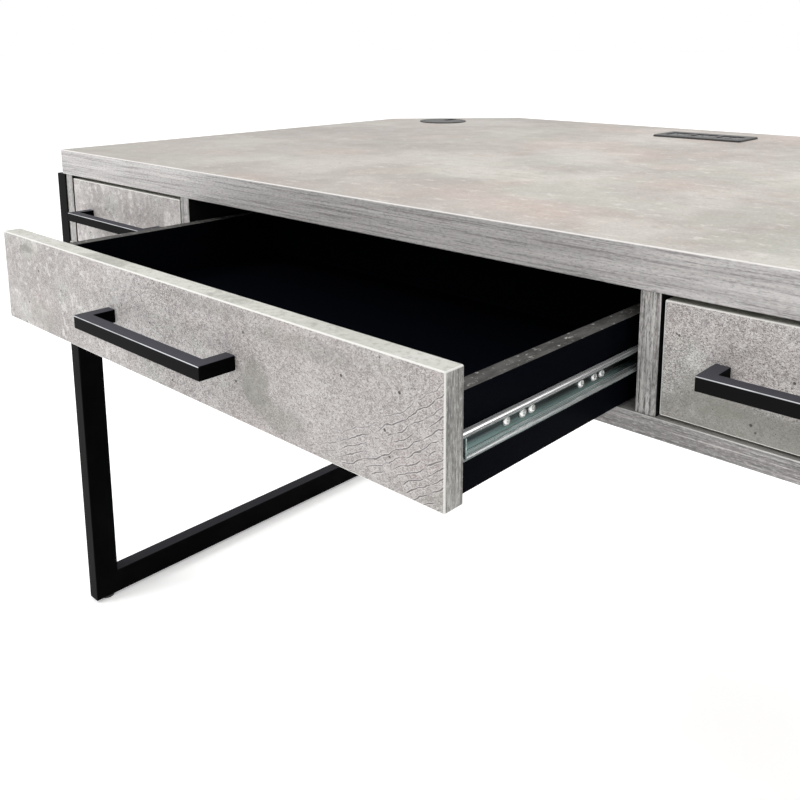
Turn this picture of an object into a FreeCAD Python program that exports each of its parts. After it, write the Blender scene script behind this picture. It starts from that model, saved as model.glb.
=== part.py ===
"""Corner desk: a thick top with cut rear corners, a three-drawer case and two sled leg frames.

Frame: millimetres, +X to the user's right, +Y to the back, +Z up, floor at Z = 0. The origin lies on the
floor at the middle of the stored extents, which include the middle drawer standing open.
Depths (Y) are written here as distances behind the front edge of the top, and save() shifts them.
"""
import math
import os

import FreeCAD, Part
from FreeCAD import Vector

# Top
top_width = 1300
top_depth = 914
desk_height = 762
corner_cut = 184
top_thickness = 37
band = 2
band_round = 1.6

# Case under the top
board = 18
frame_lap = 7
small_bay = 289
middle_bay = top_width - 2 * (frame_lap + small_bay) - 4 * board
bay_height = 104
case_depth = 432
stile_setback = 2
rear_rail_y = 690
board_round = 1.0

# Leg frames of rectangular tube
tube_wide = 25
tube_deep = 40
tube_wall = 1.5
tube_round = 2
frame_depth = 720
glide_height = 4
glide_radius = 12
glide_round = 1.2
glide_inset = 24
stem_radius = 4
stem_height = 8
stem_clear = 0.2

# Drawers
front_gap = 3
front_top_gap = 4.5
front_board = 18
front_round = 1.5
side_board = 15
side_height = 73
side_drop = 28
box_depth = 350
bottom_board = 4
bottom_lift = 10
groove = 6
bottom_play = 0.5
box_screw_heights = (26, 58)
box_screw_radius = 1.4
box_screw_hole = 1.5
box_screw_clear = 2
box_screw_length = 32
middle_open = 238
travel = 250

# Ball-bearing slides, 27 mm tall
slide_gap = 12.7
slide_drop = 63
slide_length = 350
slide_start = 21
sheet = 1.2
case_member_half = 13.5
case_member_deep = 10.5
runner_half = 8.6
runner_near = 3.2
tab_near = 4.5
tab_drop = 5
ball_radius = 1.55
ball_clear = 0.1
ball_pitch = 12
ball_first = 8
ball_depth = 6
cage_length = 100
cage_sheet = 0.5
cage_near = 2.45
cage_far = 9.5
cage_lip = 0.4
runner_screws = [56, 75, 86, 151, 170, 181]
runner_screw_bite = 12
case_member_screws = [30, 180, 320]
case_member_screw_bite = 8

# Bar pulls
pull_length = 196
pull_bar = 12.5
pull_reach = 34
pull_round = 0.8
pull_thread = 2
pull_thread_deep = 12
pull_screw_grip = 10
pull_screw_hole = 2.2

# Fixings
screw_shank = 1.6
screw_head = 3.3
screw_head_tall = 1
screw_clear = 0.15
bolt_shank = 3
bolt_head = 5.5
bolt_head_tall = 3
bolt_socket = 2
case_bolt_y = (110, 350)
case_bolt_drop = 20
case_bolt_grip = 10
rear_bolt_heights = (22, 49)
rear_bolt_grip = 30
bracket_x = (170, 500)
bracket_leg = 25
bracket_wide = 20
bracket_sheet = 2
bracket_hole = 16
bracket_bite = 15

# Cable grommets and power unit
grommet_x = 527
grommet_y = 744
grommet_flange = 46
grommet_bore = 40
grommet_clear = 0.2
grommet_wall = 2
grommet_rise = 2
grommet_round = 1.2
grommet_tube = 34
ledge = 3
ledge_thick = 2
cap_clear = 0.4
cap_play = 0.3
cap_thick = 4
cap_round = 0.8
cap_slot_wide = 16
cap_slot_reach = 22
power_long = 150
power_wide = 76
power_y = 757
power_body_deep = 52
power_plate = 3
power_corner = 6
power_round = 1.2
power_lip = 6
power_wall = 2.5
socket_side = 36
socket_pitch = 44
socket_clear = 0.1
socket_sunk = 1
socket_deep = 12
hole_deep = 8
blade_offset = 6.35
blade_half = 0.9
blade_tall = 8
ground_drop = 9
ground_radius = 2.4
port_offset = 8
port_half = (6.2, 2.5)
tongue_half = 5
tongue_from = -0.6
tongue_to = 1.2
tongue_sunk = 2
gland_rise = 8
gland_flange = 7
gland_flange_thick = 3
gland_neck = 4.4
gland_bore = 3.4
gland_hole = 4.5

# Worked out from the dimensions above
pilot = screw_shank + screw_clear
half_width = top_width / 2
under_top = desk_height - top_thickness
bay_floor = under_top - bay_height
case_half = half_width - frame_lap
end_inner = case_half - board
divider_inner = middle_bay / 2
divider_outer = divider_inner + board
back_y = case_depth - board
frame_out = case_half + tube_wide
bolt_hole = bolt_shank + screw_clear
grommet_tube_radius = grommet_bore - grommet_clear
slide_z = under_top - slide_drop
front_height = bay_height - front_top_gap - front_gap
front_low = bay_floor + front_gap
side_low = under_top - side_drop - side_height
pull_z = front_low + front_height / 2
open_reach = middle_open + pull_reach - stile_setback
front_y = -(top_depth - open_reach) / 2
solids_of = {}


def slab(x0, x1, y0, y1, z0, z1):
    return Part.makeBox(x1 - x0, y1 - y0, z1 - z0, Vector(x0, y0, z0))


def rod(x, y, z, radius, length, axis):
    return Part.makeCylinder(radius, length, Vector(x, y, z), Vector(*axis))


def prism(points, z0, z1):
    """A vertical prism over a flat outline of (x, y) points."""
    corners = [Vector(x, y, z0) for x, y in points]
    face = Part.Face(Part.makePolygon(corners + corners[:1]))
    return face.extrude(Vector(0, 0, z1 - z0))


def side_prism(points, x0, x1):
    """A prism along X over an outline of (y, z) points."""
    corners = [Vector(x0, y, z) for y, z in points]
    face = Part.Face(Part.makePolygon(corners + corners[:1]))
    return face.extrude(Vector(x1 - x0, 0, 0))


def front_prism(points, y0, y1):
    """A prism along Y over an outline of (x, z) points."""
    corners = [Vector(x, y0, z) for x, z in points]
    face = Part.Face(Part.makePolygon(corners + corners[:1]))
    return face.extrude(Vector(0, y1 - y0, 0))


def rounded(solid, radius, wanted):
    """Rounds the straight edges whose middle point passes wanted(point)."""
    edges = [e for e in solid.Edges if wanted(e.CenterOfMass)]
    return solid.makeFillet(radius, edges)


def flipped(solid):
    """The mirror image across the desk's middle plane."""
    return solid.mirror(Vector(0, 0, 0), Vector(1, 0, 0))


def both_sides(*solids):
    return list(solids) + [flipped(s) for s in solids]


def save(node, *solids):
    """Keeps one node's solids in the desk's frame, for export at the end."""
    moved = []
    for solid in solids:
        moved.append(solid.translated(Vector(0, front_y, 0)))
    solids_of[node] = moved


def outline(inset):
    """The top's outline, moved in by inset on every side."""
    half = half_width - inset
    back = top_depth - inset
    turn = corner_cut - inset * (2 - math.sqrt(2))
    right = [(half, inset), (half, back - turn), (half - turn, back)]
    left = [(-x, y) for x, y in reversed(right)]
    return right + left


def grommet_places():
    return [(-grommet_x, grommet_y), (grommet_x, grommet_y)]


def power_box(margin, z0, z1):
    """The power unit's plan, shrunk by margin, as a block from z0 to z1."""
    half = power_long / 2 - margin
    return slab(-half, half, power_y + margin, power_y + power_wide - margin, z0, z1)


def bracket_places():
    """(x, y, way) of each bracket on the right half: the board face it lies on and its direction."""
    return [(x, y, way) for x in bracket_x for y, way in ((case_depth, 1), (rear_rail_y, -1))]


def drill_brackets(panel):
    """Pilot holes for every bracket screw that enters this panel."""
    for x, y, way in bracket_places():
        for side in (-1, 1):
            up = rod(side * x, y + way * bracket_hole, under_top, pilot, bracket_bite, (0, 0, 1))
            panel = panel.cut(up)
            z = under_top - bracket_hole
            panel = panel.cut(rod(side * x, y, z, pilot, bracket_bite, (0, -way, 0)))
    return panel


def board_layer(z0, z1):
    """One of the two boards glued together as the top, with its holes."""
    layer = prism(outline(band), z0, z1)
    for x, y in grommet_places():
        layer = layer.cut(rod(x, y, z0 - 1, grommet_bore, z1 - z0 + 2, (0, 0, 1)))
    return layer.cut(power_box(power_lip, z0 - 1, z1 + 1))


def make_top():
    middle = desk_height - top_thickness / 2
    save("tabletop_upper_board", board_layer(middle, desk_height))
    save("tabletop_lower_board", drill_brackets(board_layer(under_top, middle)))
    ring = prism(outline(0), under_top, desk_height)
    ring = ring.cut(prism(outline(band), under_top - 1, desk_height + 1))
    half = half_width + 1
    low, high = under_top - 1, desk_height + 1
    front_zone = slab(-half, half, -1, band, low, high)
    back_zone = slab(-half, half, top_depth - band, top_depth + 1, low, high)
    left_zone = slab(-half, band - half_width, band, top_depth - band, low, high)
    right_zone = flipped(left_zone)
    front_band = ring.common(front_zone)
    front_band = rounded(front_band, band_round, lambda p: p.y < 0.01 and abs(p.x) < 1)
    save("edge_band_front", front_band)
    rest = []
    for zone in (left_zone, right_zone, back_zone):
        rest += ring.common(zone).Solids
    corners = ring.cut(front_zone).cut(back_zone).cut(left_zone).cut(right_zone)
    save("edge_bands_ends_and_back", *(rest + corners.Solids))


def make_case():
    bottom = slab(-case_half, case_half, 0, case_depth, bay_floor - board, bay_floor)
    bottom = rounded(bottom, board_round, lambda p: p.y < 0.01 and abs(p.x) < 1)
    save("case_bottom", bottom)
    back = slab(-case_half, case_half, back_y, case_depth, bay_floor, under_top)
    save("case_back", drill_brackets(back))
    rail = slab(-case_half, case_half, rear_rail_y, rear_rail_y + board, bay_floor, under_top)
    for x, y, z in rear_bolt_places():
        deep = tube_wide + rear_bolt_grip + 1
        rail = rail.cut(rod(x, y, z, bolt_hole, deep, (-1, 0, 0)))
        rail = rail.cut(rod(-x, y, z, bolt_hole, deep, (1, 0, 0)))
    save("rear_rail", drill_brackets(rail))
    end_panel = slab(end_inner, case_half, stile_setback, back_y, bay_floor, under_top)
    for y, z in case_bolt_places():
        hole = rod(end_inner - 1, y, z, bolt_hole, board + 2, (1, 0, 0))
        end_panel = end_panel.cut(hole)
    end_panel = drill_slide_screws(end_panel, end_inner, 1)
    save("end_panel_right", end_panel)
    save("end_panel_left", flipped(end_panel))
    divider = slab(divider_inner, divider_outer, stile_setback, back_y, bay_floor, under_top)
    divider = drill_slide_screws(divider, divider_inner, 1)
    divider = drill_slide_screws(divider, divider_outer, -1)
    save("divider_right", divider)
    save("divider_left", flipped(divider))


def drill_slide_screws(panel, face_x, way):
    """Pilot holes for one case member, from the face at face_x in the +X or -X way."""
    for offset in case_member_screws:
        y = slide_start + offset
        deep = case_member_screw_bite + 1
        panel = panel.cut(rod(face_x - way, y, slide_z, pilot, deep, (way, 0, 0)))
    return panel


def case_bolt_places():
    """(y, z) of the bolts from the case into each top rail."""
    return [(y, under_top - case_bolt_drop) for y in case_bolt_y]


def rear_bolt_places():
    """Bolts through each rear post into the rear rail, at the right-hand side."""
    y = rear_rail_y + board / 2
    return [(frame_out, y, bay_floor + z) for z in rear_bolt_heights]


def tube_box(x0, x1, y0, y1, z0, z1, run):
    """A hollow rectangular tube with rounded long corners, running along Y or Z."""
    outer = slab(x0, x1, y0, y1, z0, z1)
    length = {"y": y1 - y0, "z": z1 - z0}[run]
    outer = outer.makeFillet(tube_round, [e for e in outer.Edges if abs(e.Length - length) < 0.01])
    wall = tube_wall
    if run == "y":
        inner = slab(x0 + wall, x1 - wall, y0 - 1, y1 + 1, z0 + wall, z1 - wall)
    else:
        inner = slab(x0 + wall, x1 - wall, y0 + wall, y1 - wall, z0 - 1, z1 + 1)
    return outer.cut(inner)


def mitred(tube, points):
    """Keeps the part of a tube inside an outline of (y, z) points, which cuts its mitres."""
    return tube.common(side_prism(points, case_half - 1, frame_out + 1))


def make_frames():
    x0, x1 = case_half, frame_out
    low, high = glide_height, under_top
    deep, back = tube_deep, frame_depth
    front_post = mitred(
        tube_box(x0, x1, 0, deep, low, high, "z"),
        [(0, low), (deep, low + deep), (deep, high - deep), (0, high)],
    )
    rear_post = mitred(
        tube_box(x0, x1, back - deep, back, low, high, "z"),
        [(back, low), (back - deep, low + deep), (back - deep, high - deep), (back, high)],
    )
    top_rail = mitred(
        tube_box(x0, x1, 0, back, high - deep, high, "y"),
        [(0, high), (back, high), (back - deep, high - deep), (deep, high - deep)],
    )
    foot_rail = mitred(
        tube_box(x0, x1, 0, back, low, low + deep, "y"),
        [(0, low), (back, low), (back - deep, low + deep), (deep, low + deep)],
    )
    for y in (glide_inset, back - glide_inset):
        hole = rod((x0 + x1) / 2, y, 0, stem_radius + stem_clear, 2 * glide_height, (0, 0, 1))
        foot_rail = foot_rail.cut(hole)
        front_post = front_post.cut(hole)
        rear_post = rear_post.cut(hole)
    for y, z in case_bolt_places():
        top_rail = top_rail.cut(rod(x0 - 1, y, z, bolt_hole, tube_wall + 2, (1, 0, 0)))
    for x, y, z in rear_bolt_places():
        rear_post = rear_post.cut(rod(x + 1, y, z, bolt_hole, tube_wide + 2, (-1, 0, 0)))
    members = {
        "front_post": front_post,
        "rear_post": rear_post,
        "top_rail": top_rail,
        "foot_rail": foot_rail,
    }
    for name, solid in members.items():
        save("right_" + name, solid)
        save("left_" + name, flipped(solid))


def glide(x, y):
    pad = rod(x, y, 0, glide_radius, glide_height, (0, 0, 1))
    pad = pad.makeFillet(glide_round, [e for e in pad.Edges if e.CenterOfMass.z < 0.01])
    stem = rod(x, y, glide_height, stem_radius, stem_height, (0, 0, 1))
    return pad.fuse(stem).removeSplitter()


def make_glides():
    x = case_half + tube_wide / 2
    pads = both_sides(glide(x, glide_inset), glide(x, frame_depth - glide_inset))
    save("foot_glides", *pads)


def bolt(x, y, z, length, axis):
    """A button-head bolt with its head outside the point and its shank along axis."""
    way = Vector(*axis)
    outside = Vector(x, y, z) - way * bolt_head_tall
    head = Part.makeCylinder(bolt_head, bolt_head_tall, outside, way)
    socket = Part.makeCylinder(bolt_socket, bolt_socket, outside, way)
    shank = Part.makeCylinder(bolt_shank, length, Vector(x, y, z), way)
    return head.fuse(shank).cut(socket).removeSplitter()


def screw(x, y, z, length, axis):
    """A pan-head screw with its head outside the point and its shank along axis."""
    way = Vector(*axis)
    outside = Vector(x, y, z) - way * screw_head_tall
    head = Part.makeCylinder(screw_head, screw_head_tall, outside, way)
    shank = Part.makeCylinder(screw_shank, length, Vector(x, y, z), way)
    return head.fuse(shank).removeSplitter()


def bracket(x, y, way):
    """An angle bracket in the corner under the top, its upright against the board at y."""
    half = bracket_wide / 2
    high = under_top
    points = [
        (y, high),
        (y + way * bracket_leg, high),
        (y + way * bracket_leg, high - bracket_sheet),
        (y + way * bracket_sheet, high - bracket_sheet),
        (y + way * bracket_sheet, high - bracket_leg),
        (y, high - bracket_leg),
    ]
    solid = side_prism(points, x - half, x + half)
    through = bracket_sheet + 2
    low = high - bracket_sheet - 1
    solid = solid.cut(rod(x, y + way * bracket_hole, low, pilot, through, (0, 0, 1)))
    return solid.cut(rod(x, y - way, high - bracket_hole, pilot, through, (0, way, 0)))


def make_fixings():
    bolts = []
    for y, z in case_bolt_places():
        bolts += both_sides(bolt(end_inner, y, z, board + case_bolt_grip, (1, 0, 0)))
    for x, y, z in rear_bolt_places():
        bolts += both_sides(bolt(x, y, z, tube_wide + rear_bolt_grip, (-1, 0, 0)))
    save("frame_bolts", *bolts)
    brackets = []
    screws = []
    for x, y, way in bracket_places():
        brackets += both_sides(bracket(x, y, way))
        under = under_top - bracket_sheet
        screws += both_sides(screw(x, y + way * bracket_hole, under, bracket_bite, (0, 0, 1)))
        upright = y + way * bracket_sheet
        z = under_top - bracket_hole
        screws += both_sides(screw(x, upright, z, bracket_bite, (0, -way, 0)))
    save("top_brackets", *brackets)
    places = ((end_inner, 1), (divider_inner, 1), (divider_outer, -1))
    for face_x, way in places:
        for offset in case_member_screws:
            x = face_x - way * sheet
            y = slide_start + offset
            screws += both_sides(screw(x, y, slide_z, case_member_screw_bite, (way, 0, 0)))
    save("case_screws", *screws)


def channel(depth0, depth1, half, web0, web1, y0, y1):
    """A sheet channel lying along Y in slide coordinates: depth from the case panel and height."""
    web = front_prism([(web0, -half), (web1, -half), (web1, half), (web0, half)], y0, y1)
    low = front_prism(
        [(depth0, -half), (depth1, -half), (depth1, sheet - half), (depth0, sheet - half)], y0, y1
    )
    high = low.translated(Vector(0, 0, 2 * half - sheet))
    return web.fuse([low, high]).removeSplitter()


def case_member():
    """The fixed member: its web lies on the case panel and its races hook inwards."""
    y0, y1 = slide_start, slide_start + slide_length
    member = channel(0, case_member_deep, case_member_half, 0, sheet, y0, y1)
    for offset in case_member_screws:
        member = member.cut(rod(-1, y0 + offset, 0, pilot, sheet + 2, (1, 0, 0)))
    return member


def runner():
    """The moving member: its web lies on the drawer side, with a bent stop tab at the front."""
    y0, y1 = slide_start, slide_start + slide_length
    web0, web1 = slide_gap - sheet, slide_gap
    member = channel(runner_near, slide_gap, runner_half, web0, web1, y0, y1)
    tab = slab(tab_near, web0, y0 + 1, y0 + 1 + sheet, sheet - runner_half, runner_half - tab_drop)
    member = member.fuse(tab).removeSplitter()
    for offset in runner_screws:
        member = member.cut(rod(web0 - 1, y0 + offset, 0, pilot, sheet + 2, (1, 0, 0)))
    return member


def ball_cage():
    """The retainer between the members, then its two rows of balls."""
    overlap = (slide_length - travel - cage_length) / 2
    y0 = slide_start + overlap + travel / 2
    race = (case_member_half - sheet + runner_half) / 2
    inner, outer = race - cage_lip, race + cage_lip
    cage = slab(cage_near, cage_near + cage_sheet, y0, y0 + cage_length, -outer, outer)
    for z0, z1 in ((inner, outer), (-outer, -inner)):
        cage = cage.fuse(slab(cage_near, cage_far, y0, y0 + cage_length, z0, z1))
    cage = cage.removeSplitter()
    balls = []
    for n in range(int(cage_length / ball_pitch)):
        y = y0 + ball_first + n * ball_pitch
        for z in (race, -race):
            window = rod(ball_depth, y, z - 1, ball_radius + ball_clear, 2, (0, 0, 1))
            cage = cage.cut(window)
            balls.append(Part.makeSphere(ball_radius, Vector(ball_depth, y, z)))
    return [cage] + balls


def in_bay(solid, face_x, way, shift):
    """Puts a solid from slide coordinates against the panel face at face_x."""
    placed = solid if way > 0 else flipped(solid)
    return placed.translated(Vector(face_x, -shift, slide_z))


def rounded_front(x0, x1, shift):
    """A drawer's front board: rounded at its face and four corners, grooved and drilled behind."""
    y0 = stile_setback - shift
    panel = slab(x0, x1, y0, y0 + front_board, front_low, front_low + front_height)
    panel = rounded(panel, front_round, lambda p: p.y < y0 + front_board - 1)
    groove_z = side_low + bottom_lift
    slot = slab(
        x0 + slide_gap, x1 - slide_gap, y0 + front_board - groove, y0 + front_board + 1,
        groove_z, groove_z + bottom_board,
    )
    panel = panel.cut(slot)
    middle = (x0 + x1) / 2
    for x in pull_posts(middle):
        hole = rod(x, y0 - 1, pull_z, pull_screw_hole, front_board + 2, (0, 1, 0))
        panel = panel.cut(hole)
    return panel


def pull_posts(middle):
    """X of the two posts of a pull centred on middle."""
    reach = (pull_length - pull_bar) / 2
    return [middle - reach, middle + reach]


def bar_pull(middle, shift):
    """A square bar bent into a U, drilled from behind in both posts."""
    x0, x1 = middle - pull_length / 2, middle + pull_length / 2
    y1 = stile_setback - shift
    y0 = y1 - pull_reach
    points = [
        (x0, y0), (x1, y0), (x1, y1), (x1 - pull_bar, y1),
        (x1 - pull_bar, y0 + pull_bar), (x0 + pull_bar, y0 + pull_bar),
        (x0 + pull_bar, y1), (x0, y1),
    ]
    z0, z1 = pull_z - pull_bar / 2, pull_z + pull_bar / 2
    bar = prism(points, z0, z1)
    bar = rounded(bar, pull_round, lambda p: p.y < y1 - 0.01)
    for x in pull_posts(middle):
        y = y1 - pull_thread_deep
        bar = bar.cut(rod(x, y, pull_z, pull_thread, pull_thread_deep + 1, (0, 1, 0)))
    return bar


def drawer_side(x0, x1, inner_x, way, shift):
    """One side board, grooved for the bottom on its inner face at inner_x."""
    y0 = stile_setback + front_board - shift
    side = slab(x0, x1, y0, y0 + box_depth, side_low, side_low + side_height)
    g0, g1 = sorted((inner_x, inner_x + way * groove))
    groove_z = side_low + bottom_lift
    side = side.cut(slab(g0, g1, y0 - 1, y0 + box_depth + 1, groove_z, groove_z + bottom_board))
    outer_x = x0 if way < 0 else x1
    for offset in runner_screws:
        y = slide_start + offset - shift
        deep = runner_screw_bite + 1
        side = side.cut(rod(outer_x + way, y, slide_z, pilot, deep, (-way, 0, 0)))
    for z in back_screw_heights():
        y = y0 + box_depth - side_board / 2
        hole = rod(outer_x + way, y, z, box_screw_clear, side_board + 2, (-way, 0, 0))
        side = side.cut(hole)
    return side


def back_screw_heights():
    """Heights of the screws that hold a box's sides to its back."""
    return [side_low + height for height in box_screw_heights]


def make_drawer(name, bay0, bay1, shift):
    """A drawer for the bay from bay0 to bay1, pulled forward by shift."""
    save(name + "_drawer_front", rounded_front(bay0 + front_gap, bay1 - front_gap, shift))
    box0, box1 = bay0 + slide_gap, bay1 - slide_gap
    in0, in1 = box0 + side_board, box1 - side_board
    save(name + "_drawer_left_side", drawer_side(box0, in0, in0, -1, shift))
    save(name + "_drawer_right_side", drawer_side(in1, box1, in1, 1, shift))
    y0 = stile_setback + front_board - shift
    y1 = y0 + box_depth
    floor_z = side_low + bottom_lift
    back = slab(in0, in1, y1 - side_board, y1, floor_z + bottom_board, side_low + side_height)
    for x, way in ((in0, 1), (in1, -1)):
        for z in back_screw_heights():
            deep = box_screw_length - side_board + 2
            hole = rod(x - way, y1 - side_board / 2, z, box_screw_hole, deep, (way, 0, 0))
            back = back.cut(hole)
    save(name + "_drawer_back", back)
    floor_panel = slab(
        in0 - groove + bottom_play, in1 + groove - bottom_play,
        y0 - groove + bottom_play, y1,
        floor_z, floor_z + bottom_board,
    )
    save(name + "_drawer_bottom", floor_panel)
    middle = (bay0 + bay1) / 2
    save(name + "_drawer_pull", bar_pull(middle, shift))
    runners = []
    cases = []
    cages = []
    for face_x, way in ((bay0, 1), (bay1, -1)):
        runners.append(in_bay(runner(), face_x, way, shift))
        cases.append(in_bay(case_member(), face_x, way, 0))
        for piece in ball_cage():
            cages.append(in_bay(piece, face_x, way, shift / 2))
    save(name + "_drawer_runners", *runners)
    save(name + "_case_slides", *cases)
    save(name + "_ball_cages", *cages)
    save(name + "_drawer_screws", *drawer_screws(box0, box1, middle, shift))


def drawer_screws(box0, box1, middle, shift):
    """The screws of the runners, of the box's back corners and of the pull."""
    screws = []
    y0 = stile_setback + front_board - shift
    for outer_x, way in ((box0, 1), (box1, -1)):
        for offset in runner_screws:
            y = slide_start + offset - shift
            x = outer_x - way * sheet
            screws.append(screw(x, y, slide_z, runner_screw_bite, (way, 0, 0)))
        for z in back_screw_heights():
            y = y0 + box_depth - side_board / 2
            screws.append(rod(outer_x, y, z, box_screw_radius, box_screw_length, (way, 0, 0)))
    for x in pull_posts(middle):
        length = front_board + pull_screw_grip
        screws.append(screw(x, y0, pull_z, length, (0, -1, 0)))
    return screws


def make_drawers():
    make_drawer("left", -end_inner, -divider_outer, 0)
    make_drawer("middle", -divider_inner, divider_inner, middle_open)
    make_drawer("right", divider_outer, end_inner, 0)


def grommet_liner(x, y):
    """A flanged tube in the top with a ledge inside that carries the cap."""
    top = desk_height + grommet_rise
    inner = grommet_tube_radius - grommet_wall
    low = desk_height - grommet_tube
    tube = rod(x, y, low, grommet_tube_radius, grommet_tube, (0, 0, 1))
    flange = rod(x, y, desk_height, grommet_flange, grommet_rise, (0, 0, 1))
    rim = [e for e in flange.Edges if e.CenterOfMass.z > desk_height + 1]
    flange = flange.makeFillet(grommet_round, rim)
    liner = tube.fuse(flange).removeSplitter()
    seat = top - cap_thick - cap_play
    under = seat - ledge_thick
    liner = liner.cut(rod(x, y, seat, inner, cap_thick + 1, (0, 0, 1)))
    liner = liner.cut(rod(x, y, low - 1, inner, under - low + 1, (0, 0, 1)))
    return liner.cut(rod(x, y, under - 1, inner - ledge, ledge_thick + 2, (0, 0, 1)))


def grommet_cap(x, y):
    """A disc with a rounded cable slot in from its rear edge."""
    radius = grommet_tube_radius - grommet_wall - cap_clear
    z0 = desk_height + grommet_rise - cap_thick
    cap = rod(x, y, z0, radius, cap_thick, (0, 0, 1))
    cap = cap.makeFillet(cap_round, [e for e in cap.Edges if e.CenterOfMass.z > z0 + 1])
    half = cap_slot_wide / 2
    slot_end = y + radius - cap_slot_reach
    slot = slab(x - half, x + half, slot_end, y + radius + 1, z0 - 1, z0 + cap_thick + 1)
    cap = cap.cut(slot)
    return cap.cut(rod(x, slot_end, z0 - 1, half, cap_thick + 2, (0, 0, 1)))


def make_grommets():
    save("grommet_liners", *[grommet_liner(x, y) for x, y in grommet_places()])
    for name, (x, y) in zip(("left", "right"), grommet_places()):
        save("grommet_cap_" + name, grommet_cap(x, y))


def socket_block(x, margin, z0, z1):
    """One module's square plan at x on the power unit, shrunk by margin."""
    half = socket_side / 2 - margin
    y = power_y + power_wide / 2
    return slab(x - half, x + half, y - half, y + half, z0, z1)


def outlet(x):
    """A two-blade outlet with its round ground hole."""
    top = desk_height + power_plate - socket_sunk
    y = power_y + power_wide / 2
    block = socket_block(x, socket_clear, top - socket_deep, top)
    for side in (-1, 1):
        middle = x + side * blade_offset
        x0, x1 = middle - blade_half, middle + blade_half
        block = block.cut(slab(x0, x1, y, y + blade_tall, top - hole_deep, top + 1))
    ground = rod(x, y - ground_drop, top - hole_deep, ground_radius, hole_deep + 1, (0, 0, 1))
    return block.cut(ground)


def charging_ports(x):
    """A block with two charging ports, each with the tongue inside it."""
    top = desk_height + power_plate - socket_sunk
    block = socket_block(x, socket_clear, top - socket_deep, top)
    wide, tall = port_half
    for side in (-1, 1):
        y = power_y + power_wide / 2 + side * port_offset
        port = slab(x - wide, x + wide, y - tall, y + tall, top - hole_deep, top + 1)
        tongue = slab(
            x - tongue_half, x + tongue_half, y + tongue_from, y + tongue_to,
            top - hole_deep - 1, top - tongue_sunk,
        )
        block = block.cut(port.cut(tongue))
    return block


def power_plate_solid(module_x):
    """The faceplate, with a square window for each module."""
    top = desk_height + power_plate
    plate = power_box(0, desk_height, top)
    upright = [e for e in plate.Edges if abs(e.Length - power_plate) < 0.01]
    plate = plate.makeFillet(power_corner, upright)
    rim = [e for e in plate.Edges if e.CenterOfMass.z > top - 0.01]
    plate = plate.makeFillet(power_round, rim)
    for x in module_x:
        plate = plate.cut(socket_block(x, 0, desk_height - 1, top + 1))
    return plate


def make_power_unit():
    """The faceplate, its three modules, the housing below and the cord's gland."""
    module_x = (-socket_pitch, 0, socket_pitch)
    save("power_bezel", power_plate_solid(module_x))
    left, middle, right = module_x
    save("power_outlets", outlet(left), outlet(middle), charging_ports(right))
    low = desk_height - power_body_deep
    margin = power_lip + grommet_clear
    housing = power_box(margin, low, desk_height)
    hollow = power_box(margin + power_wall, low + power_wall, desk_height + 1)
    z = low + gland_rise
    rear = power_y + power_wide - margin
    inside = rear - power_wall - 1
    way = (0, 1, 0)
    housing = housing.cut(hollow).cut(rod(0, inside, z, gland_hole, power_wall + 2, way))
    save("power_housing", housing)
    neck = rod(0, inside, z, gland_neck, power_wall + 1, way)
    gland = rod(0, rear, z, gland_flange, gland_flange_thick, way).fuse(neck).removeSplitter()
    bore = rod(0, inside - 1, z, gland_bore, power_wall + gland_flange_thick + 3, way)
    save("power_cord_gland", gland.cut(bore))


def main():
    make_top()
    make_case()
    make_frames()
    make_glides()
    make_fixings()
    make_drawers()
    make_grommets()
    make_power_unit()
    os.makedirs("parts", exist_ok=True)
    for node, solids in solids_of.items():
        shape = solids[0] if len(solids) == 1 else Part.makeCompound(solids)
        shape.exportStep("parts/" + node + ".step")
        print(node, len(solids), round(shape.Volume / 1000, 1), "cm3", shape.isValid())


main()
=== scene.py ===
"""Corner desk: laminate top with cut rear corners, three drawers on ball-bearing slides, sled leg frames."""
import math

import bmesh
import bpy
from mathutils import Matrix, Vector


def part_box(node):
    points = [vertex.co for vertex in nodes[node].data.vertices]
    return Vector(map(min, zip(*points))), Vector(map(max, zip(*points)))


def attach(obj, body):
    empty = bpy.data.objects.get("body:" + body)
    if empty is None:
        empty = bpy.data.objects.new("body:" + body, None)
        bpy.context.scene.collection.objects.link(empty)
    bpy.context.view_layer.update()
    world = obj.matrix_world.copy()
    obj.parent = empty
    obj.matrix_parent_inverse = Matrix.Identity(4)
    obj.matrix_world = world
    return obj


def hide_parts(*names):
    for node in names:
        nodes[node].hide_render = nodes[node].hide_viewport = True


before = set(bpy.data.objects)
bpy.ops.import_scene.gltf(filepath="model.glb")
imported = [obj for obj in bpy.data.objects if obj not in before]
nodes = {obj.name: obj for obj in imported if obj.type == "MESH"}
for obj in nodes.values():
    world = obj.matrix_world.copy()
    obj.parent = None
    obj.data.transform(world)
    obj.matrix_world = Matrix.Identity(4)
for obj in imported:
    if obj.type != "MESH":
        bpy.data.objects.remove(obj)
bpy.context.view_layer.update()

MM = 0.001
DRAWERS = ("left", "middle", "right")
TAU = 2 * math.pi


# ---------------------------------------------------------------- materials

def srgb(code):
    """A hex colour such as #c8bfb6 as linear red, green, blue and alpha."""
    parts = [int(code[i:i + 2], 16) / 255 for i in (1, 3, 5)]
    linear = [c / 12.92 if c <= 0.04045 else ((c + 0.055) / 1.055) ** 2.4 for c in parts]
    return (*linear, 1.0)


def add(tree, kind, inputs=None, **settings):
    """Adds a node, sets its settings, then fills its inputs with values or links."""
    made = tree.nodes.new(kind)
    for key, value in settings.items():
        setattr(made, key, value)
    for key, value in (inputs or {}).items():
        if isinstance(value, bpy.types.NodeSocket):
            tree.links.new(value, made.inputs[key])
        else:
            made.inputs[key].default_value = value
    return made


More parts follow.
